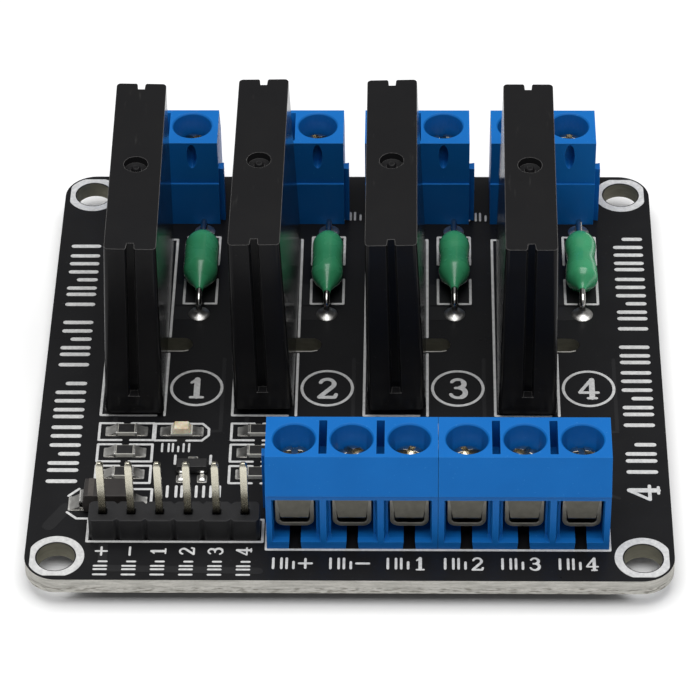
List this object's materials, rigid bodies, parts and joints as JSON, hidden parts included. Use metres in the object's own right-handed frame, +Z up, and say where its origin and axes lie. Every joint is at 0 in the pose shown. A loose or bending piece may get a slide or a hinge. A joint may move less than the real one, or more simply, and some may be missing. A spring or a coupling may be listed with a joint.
{
  "type": "solid state relay module",
  "caption": "Solid state relay module: upright black relays on a square black board with blue screw terminals front and rear, axial fuses and a control pin header.",
  "frame": {"origin": "middle of the board's underside, in the plane that rests on standoffs", "axes": "+X to the right along the row of relays, +Y to the rear, towards the output terminals, +Z up out of the component side"},
  "size_m": [0.0578, 0.056, 0.0239],
  "materials": {
    "board": "glossy black solder mask on glass-epoxy",
    "board_edge": "sawn glass-epoxy edge",
    "silkscreen": "white screen-printed ink",
    "solder": "bright tin solder",
    "relay_case": "satin black moulded case",
    "relay_core": "cast resin and small board inside the case",
    "terminal_housing": "satin blue moulded nylon",
    "clamp_metal": "nickel-plated stamped steel",
    "contact_metal": "tinned contact strip",
    "screw_metal": "plated screw",
    "header_plastic": "black moulded header body",
    "header_pin": "pale plated square pin",
    "fuse_coating": "glossy green dipped coating",
    "led_lens": "cream translucent resin",
    "chip_body": "black chip coating",
    "chip_end": "white ceramic chip edge"
  },
  "bodies": {
    "board": {"circuit_board": "board", "relay_1_case": "relay_case", "relay_1_core": "relay_core", "fuse_1": "fuse_coating", "relay_2_case": "relay_case", "relay_2_core": "relay_core", "fuse_2": "fuse_coating", "relay_3_case": "relay_case", "relay_3_core": "relay_core", "fuse_3": "fuse_coating", "relay_4_case": "relay_case", "relay_4_core": "relay_core", "fuse_4": "fuse_coating", "input_terminal_1_housing": "terminal_housing", "input_terminal_2_housing": "terminal_housing", "output_terminal_1_housing": "terminal_housing", "output_terminal_2_housing": "terminal_housing", "output_terminal_3_housing": "terminal_housing", "output_terminal_4_housing": "terminal_housing", "pin_header_body": "header_plastic", "pin_header_pin_1": "header_pin", "pin_header_pin_2": "header_pin", "pin_header_pin_3": "header_pin", "pin_header_pin_4": "header_pin", "pin_header_pin_5": "header_pin", "pin_header_pin_6": "header_pin", "resistor_1": "chip_body", "resistor_2": "chip_body", "resistor_3": "chip_body", "channel_led": "led_lens", "channel_transistor": "chip_body", "supply_diode": "chip_body"},
    "input_terminal_1_screw_1": {"input_terminal_1_screw_1": "screw_metal"},
    "input_terminal_1_clamp_1": {"input_terminal_1_clamp_1": "clamp_metal"},
    "input_terminal_1_screw_2": {"input_terminal_1_screw_2": "screw_metal"},
    "input_terminal_1_clamp_2": {"input_terminal_1_clamp_2": "clamp_metal"},
    "input_terminal_1_screw_3": {"input_terminal_1_screw_3": "screw_metal"},
    "input_terminal_1_clamp_3": {"input_terminal_1_clamp_3": "clamp_metal"},
    "input_terminal_2_screw_1": {"input_terminal_2_screw_1": "screw_metal"},
    "input_terminal_2_clamp_1": {"input_terminal_2_clamp_1": "clamp_metal"},
    "input_terminal_2_screw_2": {"input_terminal_2_screw_2": "screw_metal"},
    "input_terminal_2_clamp_2": {"input_terminal_2_clamp_2": "clamp_metal"},
    "input_terminal_2_screw_3": {"input_terminal_2_screw_3": "screw_metal"},
    "input_terminal_2_clamp_3": {"input_terminal_2_clamp_3": "clamp_metal"},
    "output_terminal_1_screw_1": {"output_terminal_1_screw_1": "screw_metal"},
    "output_terminal_1_clamp_1": {"output_terminal_1_clamp_1": "clamp_metal"},
    "output_terminal_1_screw_2": {"output_terminal_1_screw_2": "screw_metal"},
    "output_terminal_1_clamp_2": {"output_terminal_1_clamp_2": "clamp_metal"},
    "output_terminal_2_screw_1": {"output_terminal_2_screw_1": "screw_metal"},
    "output_terminal_2_clamp_1": {"output_terminal_2_clamp_1": "clamp_metal"},
    "output_terminal_2_screw_2": {"output_terminal_2_screw_2": "screw_metal"},
    "output_terminal_2_clamp_2": {"output_terminal_2_clamp_2": "clamp_metal"},
    "output_terminal_3_screw_1": {"output_terminal_3_screw_1": "screw_metal"},
    "output_terminal_3_clamp_1": {"output_terminal_3_clamp_1": "clamp_metal"},
    "output_terminal_3_screw_2": {"output_terminal_3_screw_2": "screw_metal"},
    "output_terminal_3_clamp_2": {"output_terminal_3_clamp_2": "clamp_metal"},
    "output_terminal_4_screw_1": {"output_terminal_4_screw_1": "screw_metal"},
    "output_terminal_4_clamp_1": {"output_terminal_4_clamp_1": "clamp_metal"},
    "output_terminal_4_screw_2": {"output_terminal_4_screw_2": "screw_metal"},
    "output_terminal_4_clamp_2": {"output_terminal_4_clamp_2": "clamp_metal"}
  },
  "joints": [
    {"name": "input_terminal_1_screw_1_turn", "type": "hinge", "parent": "board", "child": "input_terminal_1_screw_1", "pos_m": [-0.00481, -0.02036, 0.0077], "axis": [0, 0, -1], "range_deg": [-1081, 541]},
    {"name": "input_terminal_1_clamp_1_slide", "type": "slide", "parent": "board", "child": "input_terminal_1_clamp_1", "axis": [0, 0, 1], "range_m": [-0.0012, 0.0006]},
    {"name": "input_terminal_1_screw_2_turn", "type": "hinge", "parent": "board", "child": "input_terminal_1_screw_2", "pos_m": [0.00027, -0.02036, 0.0077], "axis": [0, 0, -1], "range_deg": [-1081, 541]},
    {"name": "input_terminal_1_clamp_2_slide", "type": "slide", "parent": "board", "child": "input_terminal_1_clamp_2", "axis": [0, 0, 1], "range_m": [-0.0012, 0.0006]},
    {"name": "input_terminal_1_screw_3_turn", "type": "hinge", "parent": "board", "child": "input_terminal_1_screw_3", "pos_m": [0.00535, -0.02036, 0.0077], "axis": [0, 0, -1], "range_deg": [-1081, 541]},
    {"name": "input_terminal_1_clamp_3_slide", "type": "slide", "parent": "board", "child": "input_terminal_1_clamp_3", "axis": [0, 0, 1], "range_m": [-0.0012, 0.0006]},
    {"name": "input_terminal_2_screw_1_turn", "type": "hinge", "parent": "board", "child": "input_terminal_2_screw_1", "pos_m": [0.01043, -0.02036, 0.0077], "axis": [0, 0, -1], "range_deg": [-1081, 541]},
    {"name": "input_terminal_2_clamp_1_slide", "type": "slide", "parent": "board", "child": "input_terminal_2_clamp_1", "axis": [0, 0, 1], "range_m": [-0.0012, 0.0006]},
    {"name": "input_terminal_2_screw_2_turn", "type": "hinge", "parent": "board", "child": "input_terminal_2_screw_2", "pos_m": [0.01551, -0.02036, 0.0077], "axis": [0, 0, -1], "range_deg": [-1081, 541]},
    {"name": "input_terminal_2_clamp_2_slide", "type": "slide", "parent": "board", "child": "input_terminal_2_clamp_2", "axis": [0, 0, 1], "range_m": [-0.0012, 0.0006]},
    {"name": "input_terminal_2_screw_3_turn", "type": "hinge", "parent": "board", "child": "input_terminal_2_screw_3", "pos_m": [0.02059, -0.02036, 0.0077], "axis": [0, 0, -1], "range_deg": [-1081, 541]},
    {"name": "input_terminal_2_clamp_3_slide", "type": "slide", "parent": "board", "child": "input_terminal_2_clamp_3", "axis": [0, 0, 1], "range_m": [-0.0012, 0.0006]},
    {"name": "output_terminal_1_screw_1_turn", "type": "hinge", "parent": "board", "child": "output_terminal_1_screw_1", "pos_m": [-0.02094, 0.0237, 0.0077], "axis": [0, 0, -1], "range_deg": [-1081, 541]},
    {"name": "output_terminal_1_clamp_1_slide", "type": "slide", "parent": "board", "child": "output_terminal_1_clamp_1", "axis": [0, 0, 1], "range_m": [-0.0012, 0.0006]},
    {"name": "output_terminal_1_screw_2_turn", "type": "hinge", "parent": "board", "child": "output_terminal_1_screw_2", "pos_m": [-0.01586, 0.0237, 0.0077], "axis": [0, 0, -1], "range_deg": [-1081, 541]},
    {"name": "output_terminal_1_clamp_2_slide", "type": "slide", "parent": "board", "child": "output_terminal_1_clamp_2", "axis": [0, 0, 1], "range_m": [-0.0012, 0.0006]},
    {"name": "output_terminal_2_screw_1_turn", "type": "hinge", "parent": "board", "child": "output_terminal_2_screw_1", "pos_m": [-0.00875, 0.0237, 0.0077], "axis": [0, 0, -1], "range_deg": [-1081, 541]},
    {"name": "output_terminal_2_clamp_1_slide", "type": "slide", "parent": "board", "child": "output_terminal_2_clamp_1", "axis": [0, 0, 1], "range_m": [-0.0012, 0.0006]},
    {"name": "output_terminal_2_screw_2_turn", "type": "hinge", "parent": "board", "child": "output_terminal_2_screw_2", "pos_m": [-0.00367, 0.0237, 0.0077], "axis": [0, 0, -1], "range_deg": [-1081, 541]},
    {"name": "output_terminal_2_clamp_2_slide", "type": "slide", "parent": "board", "child": "output_terminal_2_clamp_2", "axis": [0, 0, 1], "range_m": [-0.0012, 0.0006]},
    {"name": "output_terminal_3_screw_1_turn", "type": "hinge", "parent": "board", "child": "output_terminal_3_screw_1", "pos_m": [0.00344, 0.0237, 0.0077], "axis": [0, 0, -1], "range_deg": [-1081, 541]},
    {"name": "output_terminal_3_clamp_1_slide", "type": "slide", "parent": "board", "child": "output_terminal_3_clamp_1", "axis": [0, 0, 1], "range_m": [-0.0012, 0.0006]},
    {"name": "output_terminal_3_screw_2_turn", "type": "hinge", "parent": "board", "child": "output_terminal_3_screw_2", "pos_m": [0.00852, 0.0237, 0.0077], "axis": [0, 0, -1], "range_deg": [-1081, 541]},
    {"name": "output_terminal_3_clamp_2_slide", "type": "slide", "parent": "board", "child": "output_terminal_3_clamp_2", "axis": [0, 0, 1], "range_m": [-0.0012, 0.0006]},
    {"name": "output_terminal_4_screw_1_turn", "type": "hinge", "parent": "board", "child": "output_terminal_4_screw_1", "pos_m": [0.01563, 0.0237, 0.0077], "axis": [0, 0, -1], "range_deg": [-1081, 541]},
    {"name": "output_terminal_4_clamp_1_slide", "type": "slide", "parent": "board", "child": "output_terminal_4_clamp_1", "axis": [0, 0, 1], "range_m": [-0.0012, 0.0006]},
    {"name": "output_terminal_4_screw_2_turn", "type": "hinge", "parent": "board", "child": "output_terminal_4_screw_2", "pos_m": [0.02071, 0.0237, 0.0077], "axis": [0, 0, -1], "range_deg": [-1081, 541]},
    {"name": "output_terminal_4_clamp_2_slide", "type": "slide", "parent": "board", "child": "output_terminal_4_clamp_2", "axis": [0, 0, 1], "range_m": [-0.0012, 0.0006]}
  ],
  "couplings": [
    {"joint": "input_terminal_1_screw_1_turn", "follows": "input_terminal_1_clamp_1_slide", "rad_per_m": 15708},
    {"joint": "input_terminal_1_screw_2_turn", "follows": "input_terminal_1_clamp_2_slide", "rad_per_m": 15708},
    {"joint": "input_terminal_1_screw_3_turn", "follows": "input_terminal_1_clamp_3_slide", "rad_per_m": 15708},
    {"joint": "input_terminal_2_screw_1_turn", "follows": "input_terminal_2_clamp_1_slide", "rad_per_m": 15708},
    {"joint": "input_terminal_2_screw_2_turn", "follows": "input_terminal_2_clamp_2_slide", "rad_per_m": 15708},
    {"joint": "input_terminal_2_screw_3_turn", "follows": "input_terminal_2_clamp_3_slide", "rad_per_m": 15708},
    {"joint": "output_terminal_1_screw_1_turn", "follows": "output_terminal_1_clamp_1_slide", "rad_per_m": 15708},
    {"joint": "output_terminal_1_screw_2_turn", "follows": "output_terminal_1_clamp_2_slide", "rad_per_m": 15708},
    {"joint": "output_terminal_2_screw_1_turn", "follows": "output_terminal_2_clamp_1_slide", "rad_per_m": 15708},
    {"joint": "output_terminal_2_screw_2_turn", "follows": "output_terminal_2_clamp_2_slide", "rad_per_m": 15708},
    {"joint": "output_terminal_3_screw_1_turn", "follows": "output_terminal_3_clamp_1_slide", "rad_per_m": 15708},
    {"joint": "output_terminal_3_screw_2_turn", "follows": "output_terminal_3_clamp_2_slide", "rad_per_m": 15708},
    {"joint": "output_terminal_4_screw_1_turn", "follows": "output_terminal_4_clamp_1_slide", "rad_per_m": 15708},
    {"joint": "output_terminal_4_screw_2_turn", "follows": "output_terminal_4_clamp_2_slide", "rad_per_m": 15708}
  ]
}
